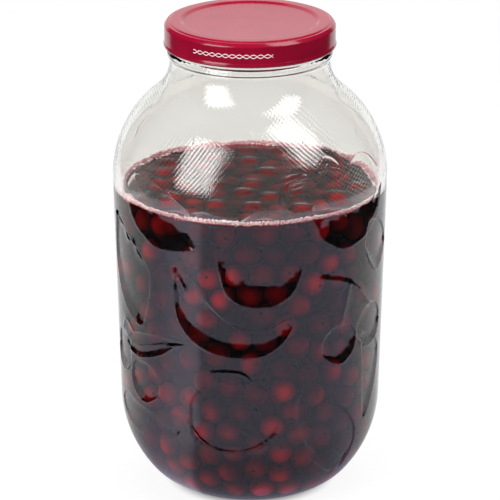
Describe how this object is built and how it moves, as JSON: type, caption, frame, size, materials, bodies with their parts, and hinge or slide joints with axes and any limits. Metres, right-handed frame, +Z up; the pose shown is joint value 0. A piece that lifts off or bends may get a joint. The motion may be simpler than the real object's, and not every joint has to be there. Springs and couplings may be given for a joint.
{
  "type": "glass preserving jar of sour cherries",
  "caption": "Tall clear glass preserving jar with a shut red twist-off lid, holding sour cherries in dark juice below an empty headspace.",
  "frame": {"origin": "on the jar's axis, in the plane of the ring that it stands on", "axes": "+Z up along the jar's axis, -Y towards the pictured front"},
  "size_m": [0.17, 0.17, 0.3005],
  "materials": {
    "glass": "clear blown glass with a faint green tint",
    "lid": "glossy red lacquer on sheet steel",
    "contents": "sour cherries in dark red juice"
  },
  "bodies": {
    "root": {"glass_jar": "glass", "twist_lid": "lid", "cherry_contents": "contents"}
  },
  "joints": []
}
